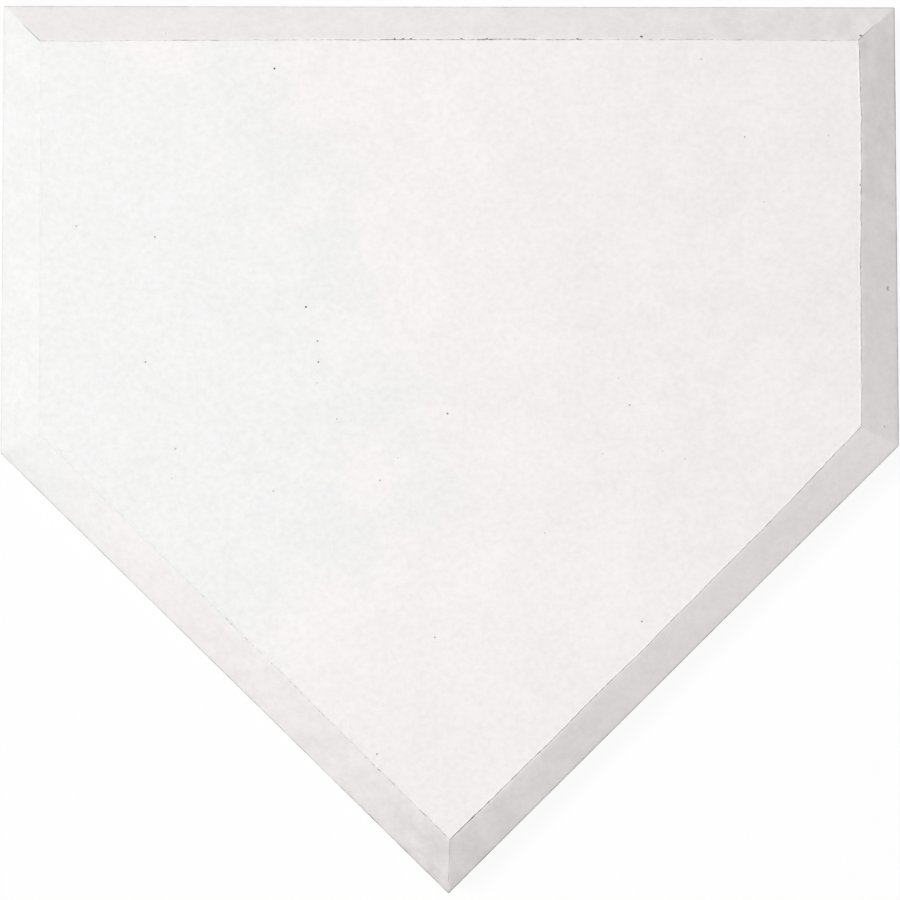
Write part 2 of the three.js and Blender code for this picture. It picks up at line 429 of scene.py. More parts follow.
def corner_point(corner, loop):
    """The loop's point at a corner, eased inwards and sunk into the joint, and its dirt and painted
    shade.
    """
    point = loop["corners"][corner] + mitre(corner) * CORNER_EASE * (1 - loop["seam"])
    before = painted_shade_at(EDGE_NAMES[corner - 1], 1.0, corner, loop)
    after = painted_shade_at(EDGE_NAMES[corner], 0.0, corner, loop)
    depth = 0.0
    if loop["bevel"] is not None:
        full_depth, start = MITRE_JOINT[CORNER_NAMES[corner]]
        depth = full_depth * smooth_step((loop["bevel"] - start) / JOINT_GROWTH)
    darkening = max((before + after) / 2, depth / DEEPEST_JOINT)
    return Vector((point.x, point.y, loop["z"] - depth)), darkening


def side_point(edge, share, loop):
    """The loop's point at a share of an edge, and its dirt and painted shade."""
    name = EDGE_NAMES[edge]
    length = (OUTLINE[(edge + 1) % SIDES] - OUTLINE[edge]).length
    # Each edge takes its noise from a stretch of its own
    place = edge + share * length
    fade = smooth_step(min(share, 1 - share) * length / SEAM_FADE)
    even, opening = crack_opening(name, share, place)
    crack = clamp(opening) * loop["crack"]

    bow = along_side((0, *SEAM_BOW[name], 0), share) * MM * max(loop["stray"] - 1, 0.0)
    gape = CRACK_HALF_WIDTH * max(opening - 1, 0.0) * fade * loop["gape"]
    wander = SEAM_WANDER[name] * layered_noise(place, WANDER_NOISE) * fade * loop["seam"]
    point = loop["corners"][edge].lerp(loop["corners"][(edge + 1) % SIDES], share)
    point += inward_normal(edge) * (bow + gape + wander)

    torn = max(0.0, TORN_LEVEL + seam_noise(place, *TORN_NOISE)) * fade
    lift = torn * (BURR_HEIGHT[name] * loop["burr"] - HOLLOW_DEPTH[name] * loop["hollow"])
    lift -= CRACK_DEPTH * crack + EASED_DROP * clamp(even) * fade * loop["eased"]
    darkening = max(painted_shade_at(name, share, place, loop), crack)
    return Vector((point.x, point.y, loop["z"] + lift)), darkening


def ring_point(around, loop):
    """The loop's point at around, and its dirt and painted shade.

    The whole part of around counts the edges, and the rest is the share of an edge.
    """
    edge = int(around) % SIDES
    share = around - int(around)
    if share == 0:
        return corner_point(edge, loop)
    return side_point(edge, share, loop)


def under_pixel(pixel, surface):
    """The point of a surface that shows at a pixel of the camera's picture, and the normal there."""
    across = (pixel[0] + 0.5 - PICTURE_SIZE / 2) * PIXEL
    up = (PICTURE_SIZE / 2 - pixel[1] - 0.5) * PIXEL
    eye = Vector((0.0, 0.0, TOP_Z + CAMERA_RISE))
    return surface.ray_cast(eye, Vector((across, up, -CAMERA_RISE)))[:2]


# Shell of the rubber cover

def first_loop(bm, around):
    """Five corners joined by edges that are cut into short lengths, each point marked with its place."""
    corners = [bm.verts.new((corner.x, corner.y, 0.0)) for corner in OUTLINE]
    for i, corner in enumerate(corners):
        corner[around] = i
    sides = [bm.edges.new((corners[i], corners[(i + 1) % SIDES])) for i in range(SIDES)]
    for i, side in enumerate(sides):
        length = side.calc_length()
        cuts = round(length / POINT_SPACING) - 1
        nearest = 1.5 * length / (cuts + 1)
        cut = bmesh.ops.subdivide_edges(bm, edges=[side], cuts=cuts)
        for point in cut["geom_inner"]:
            if not isinstance(point, bmesh.types.BMVert):
                continue
            run = (point.co.xy - OUTLINE[i]).length
            if run < nearest:
                run = CORNER_PINCH
            if length - run < nearest:
                run = length - CORNER_PINCH
            point[around] = i + run / length
    return list(bm.edges)


def cap(bm, edges):
    """Closes a loop with a fan of triangles about its middle."""
    filled = bmesh.ops.edgeloop_fill(bm, edges=edges)
    bmesh.ops.poke(bm, faces=filled["faces"])


def cover_shell():
    """The moulded cover, lofted loop by loop, as a closed bmesh."""
    bm = bmesh.new()
    around = bm.verts.layers.float.new("around")
    dirt_and_shade = bm.verts.layers.float.new("dirt_and_shade")
    loops = cover_rings()
    edges = first_loop(bm, around)
    for point in bm.verts:
        point.co = ring_point(point[around], loops[0])[0]
    cap(bm, edges)
    for loop in loops[1:]:
        made = bmesh.ops.extrude_edge_only(bm, edges=edges)["geom"]
        edges = [part for part in made if isinstance(part, bmesh.types.BMEdge)]
        for point in made:
            if isinstance(point, bmesh.types.BMVert):
                point.co, point[dirt_and_shade] = ring_point(point[around], loop)
    cap(bm, edges)
    bmesh.ops.recalc_face_normals(bm, faces=bm.faces)
    return bm


# Nails

NAIL_HEAD_RADIUS = 4.75 * MM
NAIL_HEAD = 1.3 * MM
NAIL_SHANK_RADIUS = 1.6 * MM
NAIL_LENGTH = 31.75 * MM
NAIL_RECESS = 0.3 * MM
NAIL_SPIN = 40
# The top of a head, from its middle to its rim: the share of its radius, and how far it lies below
# the face, in millimetres
HEAD_DOME = (
    (0.0, 0.0), (0.2, 0.0), (0.4, 0.02), (0.58, 0.05), (0.74, 0.1), (0.87, 0.18), (0.96, 0.34),
    (1.0, 0.6),
)
HEAD_UNDERCUT = 0.25 * MM
HEAD_SEAT_SHARE = 0.96
# The swelling of the shank under its head, and the shank's point, as shares of its radius and lengths
NECK_SHARE = 1.35
NECK_LENGTH = 0.5 * MM
POINT_LENGTH = 5 * MM
TIP_SHARE = 0.6
TIP_LENGTH = 2 * MM
# Marks of the hammer, above a height over the head's seat: how deep and large they are, how far the
# rim is out of round, how much coarser that is, and how soon both change towards the rim
HAMMERED_ABOVE = 0.3 * MM
HAMMER_MARK = 0.12 * MM
HAMMER_MARK_SIZE = 2.6 * MM
HEAD_RAGGED = 0.15 * MM
RAGGED_SCALE = 0.7
RIM_POWER = 4


def nail_place(node):
    """The nail's own frame: its origin on the skirt's face, and +Z out of the skirt."""
    edge = EDGE_NAMES.index(node[len("nail_"):].rsplit("_", 1)[0])
    low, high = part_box(node)
    middle = (low + high) / 2
    inward = inward_normal(edge)
    outward = Vector((-inward.x, -inward.y, 0.0))
    seat = middle + outward * (OUTLINE[edge] - middle.xy).dot(outward.xy)
    across = Vector((0, 0, 1)).cross(outward)
    turn = Matrix((across, Vector((0, 0, 1)), outward)).transposed()
    return Matrix.Translation(seat) @ turn.to_4x4()


def turned(profile):
    """A closed solid about +Z, spun from a profile of (radius, height) from axis to axis."""
    bm = bmesh.new()
    points = [bm.verts.new((radius, 0.0, height)) for radius, height in profile]
    edges = [bm.edges.new(pair) for pair in zip(points, points[1:])]
    bmesh.ops.spin(
        bm, geom=points + edges, cent=(0, 0, 0), axis=(0, 0, 1), angle=math.tau,
        steps=NAIL_SPIN, use_merge=True,
    )
    bmesh.ops.remove_doubles(bm, verts=bm.verts, dist=SAME_POINT)
    bmesh.ops.recalc_face_normals(bm, faces=bm.faces)
    return bm


def hammer(bm, seat, seed):
    """Dents a nail's head and leaves its rim a little out of round."""
    for point in bm.verts:
        if point.co.z < seat + HAMMERED_ABOVE:
            continue
        spot = point.co / HAMMER_MARK_SIZE + Vector((0, 0, seed))
        rim = (point.co.xy.length / NAIL_HEAD_RADIUS) ** RIM_POWER
        ragged = HEAD_RAGGED / NAIL_HEAD_RADIUS * rim * noise.noise(spot * RAGGED_SCALE)
        point.co.z -= HAMMER_MARK * abs(noise.noise(spot)) * (1 - rim)
        point.co.xy *= 1 + ragged


def clout_nail(node, seed):
    face = -NAIL_RECESS
    seat = face - NAIL_HEAD
    tip = face - NAIL_LENGTH
    profile = [(share * NAIL_HEAD_RADIUS, face - drop * MM) for share, drop in HEAD_DOME]
    profile += [
        (NAIL_HEAD_RADIUS, seat + HEAD_UNDERCUT),
        (HEAD_SEAT_SHARE * NAIL_HEAD_RADIUS, seat),
        (NECK_SHARE * NAIL_SHANK_RADIUS, seat),
        (NAIL_SHANK_RADIUS, seat - NECK_LENGTH),
        (NAIL_SHANK_RADIUS, tip + POINT_LENGTH),
        (TIP_SHARE * NAIL_SHANK_RADIUS, tip + TIP_LENGTH),
        (0.0, tip),
    ]
    bm = turned(profile)
    hammer(bm, seat, seed)
    bmesh.ops.transform(bm, matrix=nail_place(node), verts=bm.verts)
    piece = to_object(bm, node.replace("nail", "clout"))
    shade(piece, NAIL_SHARP)
    return piece


# Cuts in the rubber cover

# The clearance of a nail in its dimple and bore, and how far the bore's cut runs past the skirt
NAIL_GAP = 0.1 * MM
BORE_MARGIN = 0.2 * MM
DIMPLE_FOOT = 0.25 * MM
# The dimple's soft rim: how far it lies outside the nail's head, and how high over the skirt's face,
# in millimetres
DIMPLE_RIM = ((0.45, -1.0), (0.9, -0.45), (1.7, -0.1), (4.5, 1.1))


def dimple(node):
    """What a nail takes out of the cover: a soft dimple round its head and a bore through the skirt."""
    floor = -NAIL_RECESS - NAIL_HEAD - NAIL_GAP
    bore = NAIL_SHANK_RADIUS + NAIL_GAP
    back = -SKIRT_WALL - BORE_MARGIN
    profile = [(0.0, back), (bore, back), (bore, floor), (NAIL_HEAD_RADIUS + DIMPLE_FOOT, floor)]
    profile += [(NAIL_HEAD_RADIUS + out * MM, height * MM) for out, height in DIMPLE_RIM]
    profile.append((0.0, profile[-1][1]))
    bm = turned(profile)
    bmesh.ops.transform(bm, matrix=nail_place(node), verts=bm.verts)
    return bm


def find_pits(surface):
    """Each pit's place on the surface, the way out of it, and its radius, rise and dirt."""
    pits = []
    for pixels, radius, rise, dirt in PITS:
        pits += [(*under_pixel(pixel, surface), radius, rise, dirt) for pixel in pixels]
    for pixel in SEAM_TEARS:
        place = under_pixel(pixel, surface)[0]
        place.z = TOP_Z - TEAR_DEPTH
        pits.append((place, Vector((0, 0, 1)), TEAR_RADIUS, 0.0, 1.0))
    return pits


def pit_ball(place, normal, radius, rise):
    """A ball that takes a round pit out of the cover; its centre stands a rise off the surface."""
    bm = bmesh.new()
    centre = Matrix.Translation(place + normal * rise)
    bmesh.ops.create_icosphere(bm, subdivisions=PIT_SUBDIVISIONS, radius=radius, matrix=centre)
    return bm


def cover_cutter(nail_nodes, pits):
    """All that is cut out of the cover, as one object."""
    cuts = [dimple(node) for node in nail_nodes]
    cuts += [pit_ball(*pit[:-1]) for pit in pits]
    joined = bmesh.new()
    for cut in cuts:
        mesh = bpy.data.meshes.new("cut")
        cut.to_mesh(mesh)
        cut.free()
        joined.from_mesh(mesh)
        bpy.data.meshes.remove(mesh)
    return to_object(joined, "cutter")


def splits(face):
    """Whether a face has many sides, or a point in the middle of a side."""
    return len(face.verts) > 4 or max(corner.calc_angle() for corner in face.loops) > STRAIGHT


def tidy_cuts(mesh):
    """Merges doubles along the cuts, drops points that divide an edge and splits faces."""
    bm = bmesh.new()
    bm.from_mesh(mesh)
    bmesh.ops.remove_doubles(bm, verts=bm.verts, dist=SAME_POINT)
    idle = [point for point in bm.verts if len(point.link_edges) == 2]
    bmesh.ops.dissolve_verts(bm, verts=idle)
    split = [face for face in bm.faces if splits(face)]
    bmesh.ops.triangulate(bm, faces=split, quad_method="BEAUTY", ngon_method="BEAUTY")
    bm.to_mesh(mesh)
    bm.free()


def soil_pit(mesh, place, normal, radius, rise, dirt):
    """Marks the inside of a pit as dirty."""
    lip = PIT_CLEAN_LIP * (radius - rise)
    reach = PIT_SLACK * radius
    dirt_and_shade = mesh.attributes["dirt_and_shade"].data
    for point in mesh.vertices:
        offset = point.co - place
        if offset.dot(normal) < -lip and (offset - normal * rise).length < reach:
            dirt_and_shade[point.index].value = dirt


def moulded_cover(nail_nodes):
    shell = cover_shell()
    pits = find_pits(BVHTree.FromBMesh(shell))
    piece = to_object(shell, "moulded_cover")
    cutter = cover_cutter(nail_nodes, pits)
    cut = piece.modifiers.new("cuts", "BOOLEAN")
    cut.operation = "DIFFERENCE"
    cut.solver = "EXACT"
    cut.object = cutter
    bpy.context.view_layer.update()
    shaped = piece.evaluated_get(bpy.context.evaluated_depsgraph_get())
    mesh = bpy.data.meshes.new_from_object(shaped)
    piece.modifiers.clear()
    piece.data = mesh
    bpy.data.objects.remove(cutter)
    tidy_cuts(mesh)
    for pit in pits:
        soil_pit(mesh, *pit)
    shade(piece, COVER_SHARP)
    return piece


# Material nodes

# Most values of a noise texture lie in this range
NOISE_RANGE = (0.35, 0.65)


def new_material(name):
    material = bpy.data.materials.new(name)
    material.use_nodes = True
    tree = material.node_tree
    return material, tree, tree.nodes["Principled BSDF"]


def add(tree, kind, **settings):
    node = tree.nodes.new(kind)
    for key, value in settings.items():
        setattr(node, key, value)
    return node


def object_coordinates(tree, scale=(1, 1, 1), location=(0, 0, 0), rotation=(0, 0, 0)):
    coordinates = add(tree, "ShaderNodeTexCoord")
    mapping = add(tree, "ShaderNodeMapping")
    mapping.inputs["Scale"].default_value = scale
    mapping.inputs["Location"].default_value = location
    mapping.inputs["Rotation"].default_value = rotation
    tree.links.new(coordinates.outputs["Object"], mapping.inputs["Vector"])
    return mapping.outputs["Vector"]


def noise_texture(tree, vector, size, detail=3.0, roughness=0.5):
    """Noise with features of about a size, in metres."""
    texture = add(tree, "ShaderNodeTexNoise")
    texture.inputs["Scale"].default_value = 1 / size
    texture.inputs["Detail"].default_value = detail
    texture.inputs["Roughness"].default_value = roughness
    tree.links.new(vector, texture.inputs["Vector"])
    return texture.outputs["Fac"]


def remap(tree, value, low, high, to_low=0.0, to_high=1.0, kind="LINEAR"):
    node = add(tree, "ShaderNodeMapRange", interpolation_type=kind)
    node.inputs["From Min"].default_value = low
    node.inputs["From Max"].default_value = high
    node.inputs["To Min"].default_value = to_low
    node.inputs["To Max"].default_value = to_high
    tree.links.new(value, node.inputs["Value"])
    return node.outputs["Result"]


def combine(tree, operation, first, second=0.0):
    node = add(tree, "ShaderNodeMath", operation=operation)
    for socket, value in zip(node.inputs, (first, second)):
        if isinstance(value, (int, float)):
            socket.default_value = value
        else:
            tree.links.new(value, socket)
    return node.outputs["Value"]


def mix_colour(tree, factor, first, second, blend="MIX"):
    node = add(tree, "ShaderNodeMix", data_type="RGBA", blend_type=blend)
    tree.links.new(factor, node.inputs["Factor"])
    sockets = [socket for socket in node.inputs if socket.type == "RGBA"]
    for socket, value in zip(sockets, (first, second)):
        if isinstance(value, tuple):
            socket.default_value = (*value, 1.0)
        else:
            tree.links.new(value, socket)
    return next(socket for socket in node.outputs if socket.type == "RGBA")


def distance_from(tree, vector, place):
    node = add(tree, "ShaderNodeVectorMath", operation="DISTANCE")
    tree.links.new(vector, node.inputs[0])
    node.inputs[1].default_value = place
    return node.outputs["Value"]


def axes(tree, vector):
    node = add(tree, "ShaderNodeSeparateXYZ")
    tree.links.new(vector, node.inputs["Vector"])
    return node.outputs["X"], node.outputs["Y"], node.outputs["Z"]


def bump(tree, shader, height, distance):
    node = add(tree, "ShaderNodeBump")
    node.inputs["Strength"].default_value = 1.0
    node.inputs["Distance"].default_value = distance
    tree.links.new(height, node.inputs["Height"])
    tree.links.new(node.outputs["Normal"], shader.inputs["Normal"])


# White rubber

FACE_NEUTRAL = (0.849, 0.854, 0.848)
FACE_WARM = (0.892, 0.857, 0.855)
# Painted light: the bevels and skirt are given these lighter whites than the flat top
LIT_FLANK_NEUTRAL = (0.889, 0.894, 0.888)
LIT_FLANK_WARM = (0.921, 0.884, 0.882)
# The darker white of clouds and mottling, also used for the painted shade towards two corners of the
# flat top
DULL_AND_SHADED = (0.90, 0.896, 0.893)
SOIL_AND_SHADE = (0.16, 0.145, 0.13)
DUST = (0.50, 0.42, 0.33)
# Where the white turns from neutral to warm: away from a place at the left on the flat top, and below
# it from left to right and across the mitre of the front left corner
NEUTRAL_PLACE = (-250 * MM, 14 * MM, TOP_Z)
FACE_TINT = (190 * MM, 240 * MM)
FLANK_TINT = (-195 * MM, -150 * MM)
MITRE_TINT = (-3 * MM, 3 * MM)
TINT_STRAY = 90 * MM
# Painted shade on the flat top towards these corners: how dark, from 0 to 1, and how far that reaches
SHADED_CORNERS = {"front_right": (0.37, 330 * MM), "point": (0.32, 160 * MM)}
# The sizes of the rubber's clouds, blotches, mottling and grain
CLOUD_SIZE = 45 * MM
BLOTCH_SIZE = 11 * MM
MOTTLE_SIZE = 3 * MM
GRAIN_SIZE = 0.6 * MM
# How dull the rubber is: clouds and blotches vary the mean by this much, and mottling adds to it
MEAN_DULL = 0.25
CLOUD_DULL = 0.15
BLOTCH_DULL = 0.1
MOTTLE_DULL = 0.5
MOTTLE_RANGE = (0.3, 0.6)
# From left to right, where the clouds and blotches grow from this share to their full strength
CLOUD_FADE = (-200 * MM, 130 * MM)
LEFT_CLOUDS = 0.4
# How much dust lies at the foot of the skirt, how high it reaches, and the blotches that it keeps to
DUST_LEVEL = 0.3
DUST_HEIGHT = 16 * MM
DUST_RANGE = (0.35, 0.6)
# How much stronger or weaker the blotches make the dirt and painted shade
DARKENING_BLOTCHES = (1.4, 0.7)
RUBBER_ROUGHNESS = (0.7, 0.58)
ROUGHNESS_RANGE = (0.3, 0.7)
RUBBER_SPECULAR = 0.3
RUBBER_RELIEF = 0.05 * MM
GRAIN_RELIEF = 0.35


def rubber_white(tree, vector, drift):
    """The clean colour: neutral on the left, warmer on the right, with painted shade at two corners of
    the flat top, and lighter below it as painted light.
    """
    across, forward, height = axes(tree, vector)
    stray = remap(tree, drift, 0.0, 1.0, -TINT_STRAY, TINT_STRAY)
    away = combine(tree, "ADD", distance_from(tree, vector, NEUTRAL_PLACE), stray)
    face = mix_colour(tree, remap(tree, away, *FACE_TINT), FACE_NEUTRAL, FACE_WARM)
    # Painted shade: the flat top darkens towards the front right corner and the point
    for name, (level, reach) in SHADED_CORNERS.items():
        corner = OUTLINE[CORNER_NAMES.index(name)]
        distance = distance_from(tree, vector, (corner.x, corner.y, TOP_Z))
        corner_shade = remap(tree, distance, 0.0, reach, level, 0.0)
        face = mix_colour(tree, corner_shade, face, DULL_AND_SHADED, "MULTIPLY")
    past_mitre = remap(tree, combine(tree, "ADD", across, forward), *MITRE_TINT)
    warmth = combine(tree, "MAXIMUM", remap(tree, across, *FLANK_TINT), past_mitre)
    # Painted light: below the flat top the white is lighter
    lit_flank = mix_colour(tree, warmth, LIT_FLANK_NEUTRAL, LIT_FLANK_WARM)
    return mix_colour(tree, remap(tree, height, TOP_Z - MOULD_STEP, TOP_Z), lit_flank, face)


def white_rubber():
    """Matte white rubber: clouds, blotches, fine mottling, dust on its skirt, dirt in its cracks, and
    painted shade along the skirt's top edge and on the bevels.
    """
    material, tree, shader = new_material("white_rubber")
    vector = object_coordinates(tree)
    across, _, height = axes(tree, vector)
    cloud = noise_texture(tree, vector, CLOUD_SIZE, detail=3)
    blotch = noise_texture(tree, vector, BLOTCH_SIZE, detail=3, roughness=0.6)
    mottle = noise_texture(tree, vector, MOTTLE_SIZE, detail=4, roughness=0.65)
    grain = noise_texture(tree, vector, GRAIN_SIZE, detail=2)

    cloudy = remap(tree, cloud, *NOISE_RANGE, CLOUD_DULL, -CLOUD_DULL)
    blotchy = remap(tree, blotch, *NOISE_RANGE, BLOTCH_DULL, -BLOTCH_DULL)
    strength = remap(tree, across, *CLOUD_FADE, LEFT_CLOUDS, 1.0)
    uneven = combine(tree, "MULTIPLY", combine(tree, "ADD", cloudy, blotchy), strength)
    mottled = remap(tree, mottle, *MOTTLE_RANGE, MEAN_DULL + MOTTLE_DULL, MEAN_DULL)
    dullness = combine(tree, "ADD", uneven, mottled)
    colour = mix_colour(tree, dullness, rubber_white(tree, vector, cloud), DULL_AND_SHADED, "MULTIPLY")

    dust = remap(tree, height, 0.0, DUST_HEIGHT, DUST_LEVEL, 0.0)
    dust = combine(tree, "MULTIPLY", dust, remap(tree, blotch, *DUST_RANGE))
    colour = mix_colour(tree, dust, colour, DUST)

    # Dirt in the cracks, joints and pits, and painted shade along the skirt's top edge and on the bevels
    dirt_and_shade = add(tree, "ShaderNodeAttribute", attribute_name="dirt_and_shade")
    patches = remap(tree, blotch, *NOISE_RANGE, *DARKENING_BLOTCHES)
    darkening = combine(tree, "MULTIPLY", dirt_and_shade.outputs["Fac"], patches)
    colour = mix_colour(tree, darkening, colour, SOIL_AND_SHADE)

    roughness = remap(tree, mottle, *ROUGHNESS_RANGE, *RUBBER_ROUGHNESS)
    tree.links.new(colour, shader.inputs["Base Color"])
    tree.links.new(roughness, shader.inputs["Roughness"])
    shader.inputs["Specular IOR Level"].default_value = RUBBER_SPECULAR
    relief = combine(tree, "ADD", mottle, combine(tree, "MULTIPLY", grain, GRAIN_RELIEF))
    bump(tree, shader, relief, RUBBER_RELIEF)
    return material


# Treated pine

EARLY_WOOD = (0.60, 0.455, 0.235)
LATE_WOOD = (0.37, 0.215, 0.085)
KNOT_WOOD = (0.21, 0.105, 0.045)
KNOT_BARK = (0.06, 0.035, 0.02)
TREATMENT = (0.40, 0.43, 0.20)
DARK_FIBRE = (0.72, 0.70, 0.66)
DARK_STREAK = (0.82, 0.78, 0.72)
# Growth rings, the share of a ring in which late wood comes in, and the waves of the rings
RING_WIDTH = 4.6 * MM
LATE_RANGE = (0.35, 0.92)
WAVE_SIZE = 32 * MM
WAVE_REACH = 9 * MM
# Knots: how far they push the rings and reach, their own rings, their outline and their bark
KNOT_REACH = 45 * MM
KNOT_PUSH = 17 * MM
KNOT_STRETCH = 0.72
KNOT_RING = 1.7 * MM
KNOT_RAGGED = 3 * MM
RAGGED_SIZE = 9 * MM
BARK_START = 0.8
BARK_FULL = 0.95
KNOT_FADE = 1.15
# Noise in the wood is drawn out along the board by these scales
WAVE_GRAIN = (1, 0.12, 1)
FIBRE_GRAIN = (1, 0.03, 1)
PATCH_GRAIN = (1, 0.4, 1)
FIBRE_SIZE = 0.7 * MM
STREAK_SIZE = 5 * MM
PATCH_SIZE = 50 * MM
FIBRE_LEVEL = 0.8
STREAK_LEVEL = 0.5
PATCH_RANGE = (0.35, 0.7)
PATCH_LEVELS = (0.1, 0.45)
WOOD_ROUGHNESS = (0.82, 0.62)
WOOD_SPECULAR = 0.35
WOOD_RELIEF = 0.12 * MM
LATE_RELIEF = 0.6
# Each board's pith, as (x, z), how far it leans sideways and up along the board, and its knots, as
# (x, y, radius) in millimetres
BOARDS = {
    "left": ((-112 * MM, -46 * MM), (0.035, 0.05), ((-158, 96, 8), (-104, 4, 10))),
    "centre": ((22 * MM, -30 * MM), (-0.02, 0.03), ((-31, -62, 11), (38, 140, 7))),
    "right": ((150 * MM, -58 * MM), (0.05, -0.02), ((118, 30, 9),)),
}


def growth(tree, pith, lean):
    """How far a point lies from the pith, which runs along the board and leans a little."""
    turn = (lean[1], 0.0, lean[0])
    x, _, z = axes(tree, object_coordinates(tree, location=(-pith[0], 0, -pith[1]), rotation=turn))
    square = combine(tree, "ADD", combine(tree, "MULTIPLY", x, x), combine(tree, "MULTIPLY", z, z))
    wave = noise_texture(tree, object_coordinates(tree, scale=WAVE_GRAIN), WAVE_SIZE, detail=2)
    stray = remap(tree, wave, 0, 1, -WAVE_REACH, WAVE_REACH)
    return combine(tree, "ADD", combine(tree, "SQRT", square), stray)


def knot_distances(tree, knots):
    """How far a point lies from each knot's middle, in plan, with a ragged outline."""
    plan = object_coordinates(tree, scale=(1, KNOT_STRETCH, 0))
    ragged = noise_texture(tree, object_coordinates(tree), RAGGED_SIZE, detail=2)
    stray = remap(tree, ragged, 0, 1, -KNOT_RAGGED, KNOT_RAGGED)
    places = [(x * MM, KNOT_STRETCH * y * MM, 0) for x, y, _ in knots]
    return [combine(tree, "ADD", distance_from(tree, plan, place), stray) for place in places]


def late_wood(tree, pith, lean, distances):
    """The share of late wood, in rings round the pith that bend away from the knots."""
    reach = growth(tree, pith, lean)
    for distance in distances:
        push = remap(tree, distance, 0, KNOT_REACH, KNOT_PUSH, 0.0, "SMOOTHERSTEP")
        reach = combine(tree, "ADD", reach, push)
    ring_share = combine(tree, "FRACT", combine(tree, "DIVIDE", reach, RING_WIDTH))
    return remap(tree, ring_share, *LATE_RANGE, 0.0, 1.0, "SMOOTHSTEP")


def with_knot(tree, colour, distance, radius):
    """A colour with a knot of a radius on it: rings of its own inside a dark line of bark."""
    knot_ring = combine(tree, "FRACT", combine(tree, "DIVIDE", distance, KNOT_RING))
    knot = mix_colour(tree, knot_ring, KNOT_WOOD, LATE_WOOD)
    bark = remap(tree, distance, BARK_START * radius, BARK_FULL * radius)
    knot = mix_colour(tree, bark, knot, KNOT_BARK)
    inside = remap(tree, distance, radius, KNOT_FADE * radius, 1.0, 0.0)
    return mix_colour(tree, inside, colour, knot)


def treated_pine(name, pith, lean, knots):
    """Planed softwood: growth rings that bend round knots, fibres along the board, a green tinge."""
    material, tree, shader = new_material(name)
    along = object_coordinates(tree, scale=FIBRE_GRAIN)
    fibre = noise_texture(tree, along, FIBRE_SIZE, detail=3, roughness=0.7)
    streak = noise_texture(tree, along, STREAK_SIZE, detail=2)
    patch = noise_texture(tree, object_coordinates(tree, scale=PATCH_GRAIN), PATCH_SIZE, detail=3)
    distances = knot_distances(tree, knots)
    late = late_wood(tree, pith, lean, distances)

    colour = mix_colour(tree, late, EARLY_WOOD, LATE_WOOD)
    treated = remap(tree, patch, *PATCH_RANGE, *PATCH_LEVELS)
    colour = mix_colour(tree, treated, colour, TREATMENT)
    for distance, (_, _, radius) in zip(distances, knots):
        colour = with_knot(tree, colour, distance, radius * MM)
    fibrous = remap(tree, fibre, *NOISE_RANGE, FIBRE_LEVEL, 0.0)
    colour = mix_colour(tree, fibrous, colour, DARK_FIBRE, "MULTIPLY")
    streaky = remap(tree, streak, *NOISE_RANGE, STREAK_LEVEL, 0.0)
    colour = mix_colour(tree, streaky, colour, DARK_STREAK, "MULTIPLY")

    tree.links.new(colour, shader.inputs["Base Color"])
    tree.links.new(remap(tree, late, 0.0, 1.0, *WOOD_ROUGHNESS), shader.inputs["Roughness"])
    shader.inputs["Specular IOR Level"].default_value = WOOD_SPECULAR
    relief = combine(tree, "ADD", fibre, combine(tree, "MULTIPLY", late, LATE_RELIEF))
    bump(tree, shader, relief, WOOD_RELIEF)
    return material


# Galvanised zinc

ZINC_DARK = (0.27, 0.28, 0.287)
ZINC_PALE = (0.41, 0.42, 0.427)
ZINC_CHALK = (0.56, 0.565, 0.56)
SPANGLE_SIZE = 1.8 * MM
LUMP_SIZE = 1.6 * MM
OXIDE_SIZE = 3.5 * MM
# The oxide's noise where chalk starts and is full, and how much chalk that is
CHALK_RANGE = (0.48, 0.68)
CHALK_LEVEL = 0.8
ZINC_ROUGHNESS = (0.42, 0.75)
ZINC_METALLIC = 0.85
ZINC_RELIEF = 0.09 * MM
CHALK_RELIEF = 0.4


def galvanised_zinc():
    """Dull hot-dip zinc: faint spangles, lumps, and chalky patches of white oxide."""
    material, tree, shader = new_material("galvanised_zinc")
    vector = object_coordinates(tree)
    lump = noise_texture(tree, vector, LUMP_SIZE, detail=4)
    oxide = noise_texture(tree, vector, OXIDE_SIZE, detail=4, roughness=0.65)
    spangle = add(tree, "ShaderNodeTexVoronoi")
    spangle.inputs["Scale"].default_value = 1 / SPANGLE_SIZE
    tree.links.new(vector, spangle.inputs["Vector"])
    facet = axes(tree, spangle.outputs["Color"])[0]
    chalk = remap(tree, oxide, *CHALK_RANGE, 0.0, CHALK_LEVEL)
    colour = mix_colour(tree, facet, ZINC_DARK, ZINC_PALE)
    colour = mix_colour(tree, chalk, colour, ZINC_CHALK)
    roughness = remap(tree, chalk, 0.0, CHALK_LEVEL, *ZINC_ROUGHNESS)
    tree.links.new(colour, shader.inputs["Base Color"])
    tree.links.new(roughness, shader.inputs["Roughness"])
    shader.inputs["Metallic"].default_value = ZINC_METALLIC
    relief = combine(tree, "ADD", lump, combine(tree, "MULTIPLY", chalk, CHALK_RELIEF))
    bump(tree, shader, relief, ZINC_RELIEF)
    return material


# The object

nail_nodes = sorted(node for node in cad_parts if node.startswith("nail_"))

cover = moulded_cover(nail_nodes)
give(cover, white_rubber())
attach(cover, "root")
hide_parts("rubber_cover")

zinc = galvanised_zinc()
for seed, node in enumerate(nail_nodes):
    nail = clout_nail(node, seed)
    give(nail, zinc)
    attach(nail, "root")
    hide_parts(node)

for board, (pith, lean, knots) in BOARDS.items():
    pine = treated_pine(f"treated_pine_{board}", pith, lean, knots)
    give(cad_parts[f"core_board_{board}"], pine)

# Floor, light and camera

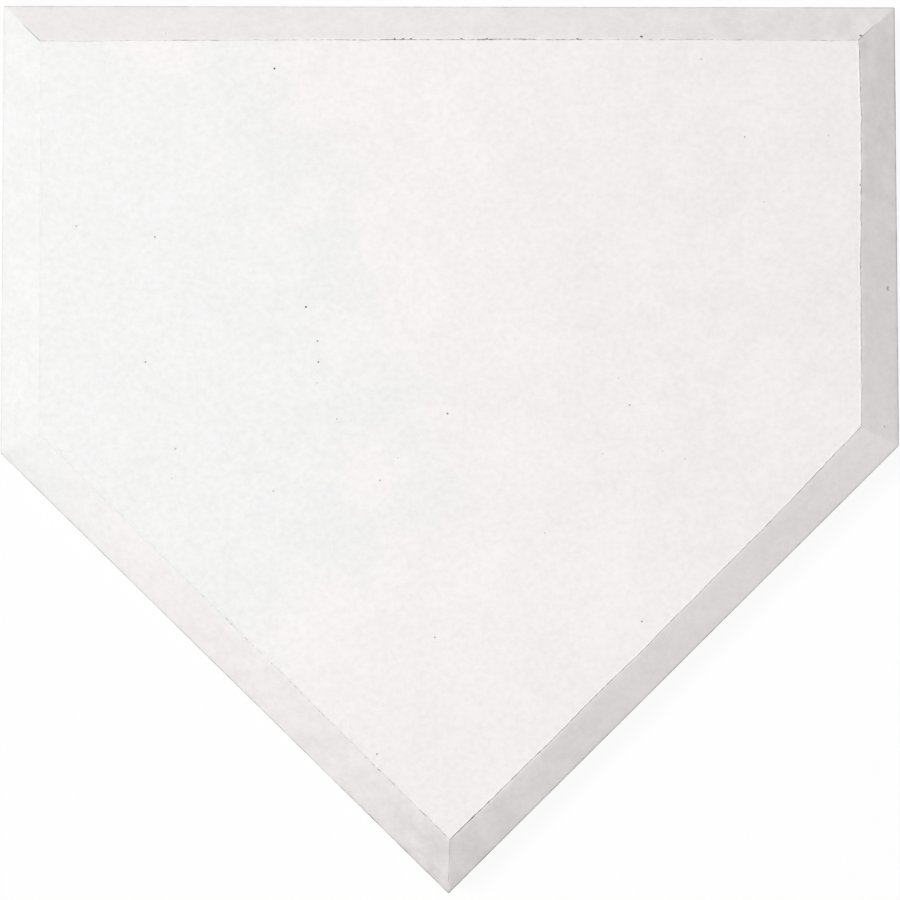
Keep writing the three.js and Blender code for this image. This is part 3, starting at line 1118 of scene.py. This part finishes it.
KEY_DISTANCE = 4.0
KEY_SIZE = 0.8
KEY_LEVEL = 0.87
KEY_DIRECTION = Vector((-0.2525, 0.055, 0.7965))
AMBIENT = 0.208
FLOOR_COLOUR = (0.78, 0.78, 0.78, 1.0)
FLOOR_ROUGHNESS = 0.9
FLOOR_SIZE = 12.0
FLOOR_WHITE = 0.94
SENSOR_WIDTH = 36.0


def seen_directly(tree):
    """1 for rays from the camera and for reflected and transmitted ones, 0 for light on the object."""
    path = add(tree, "ShaderNodeLightPath")
    seen = combine(tree, "MAXIMUM", path.outputs["Is Camera Ray"], path.outputs["Is Glossy Ray"])
    return combine(tree, "MAXIMUM", seen, path.outputs["Is Transmission Ray"])


def pale_floor():
    """A pale floor that looks almost white and keeps a faint shadow."""
    material, tree, shader = new_material("pale_floor")
    shader.inputs["Base Color"].default_value = FLOOR_COLOUR
    shader.inputs["Roughness"].default_value = FLOOR_ROUGHNESS
    shader.inputs["Specular IOR Level"].default_value = 0.0
    white = add(tree, "ShaderNodeEmission")
    mixed = add(tree, "ShaderNodeMixShader")
    share = combine(tree, "MULTIPLY", seen_directly(tree), FLOOR_WHITE)
    tree.links.new(share, mixed.inputs["Fac"])
    tree.links.new(shader.outputs["BSDF"], mixed.inputs[1])
    tree.links.new(white.outputs["Emission"], mixed.inputs[2])
    tree.links.new(mixed.outputs["Shader"], tree.nodes["Material Output"].inputs["Surface"])
    bm = bmesh.new()
    bmesh.ops.create_grid(bm, x_segments=1, y_segments=1, size=FLOOR_SIZE / 2)
    floor = to_object(bm, "floor")
    give(floor, material)


def studio_light():
    """An even surround and one soft lamp, under which a white face that faces it has the key level."""
    world = bpy.data.worlds.new("studio")
    bpy.context.scene.world = world
    world.use_nodes = True
    tree = world.node_tree
    background = tree.nodes["Background"]
    background.inputs["Color"].default_value = (1.0, 1.0, 1.0, 1.0)
    level = remap(tree, seen_directly(tree), 0, 1, AMBIENT, 1.0)
    tree.links.new(level, background.inputs["Strength"])
    lamp = bpy.data.lights.new("key", "AREA")
    lamp.shape = "DISK"
    lamp.size = KEY_SIZE
    lamp.energy = math.pi ** 2 * KEY_LEVEL * KEY_DISTANCE ** 2
    key = bpy.data.objects.new("key", lamp)
    key.visible_camera = False
    direction = KEY_DIRECTION.normalized()
    key.location = direction * KEY_DISTANCE
    key.rotation_euler = direction.to_track_quat("Z", "Y").to_euler()
    bpy.context.scene.collection.objects.link(key)


def overhead_camera():
    """Looks straight down, with the plate's width filling the picture at the height of its top."""
    data = bpy.data.cameras.new("overhead")
    data.sensor_width = SENSOR_WIDTH
    data.lens = SENSOR_WIDTH * CAMERA_RISE / (PIXEL * PICTURE_SIZE)
    camera = bpy.data.objects.new("overhead", data)
    camera.location = (0.0, 0.0, TOP_Z + CAMERA_RISE)
    bpy.context.scene.collection.objects.link(camera)
    bpy.context.scene.camera = camera


pale_floor()
studio_light()
overhead_camera()
bpy.context.scene.view_settings.view_transform = "Standard"
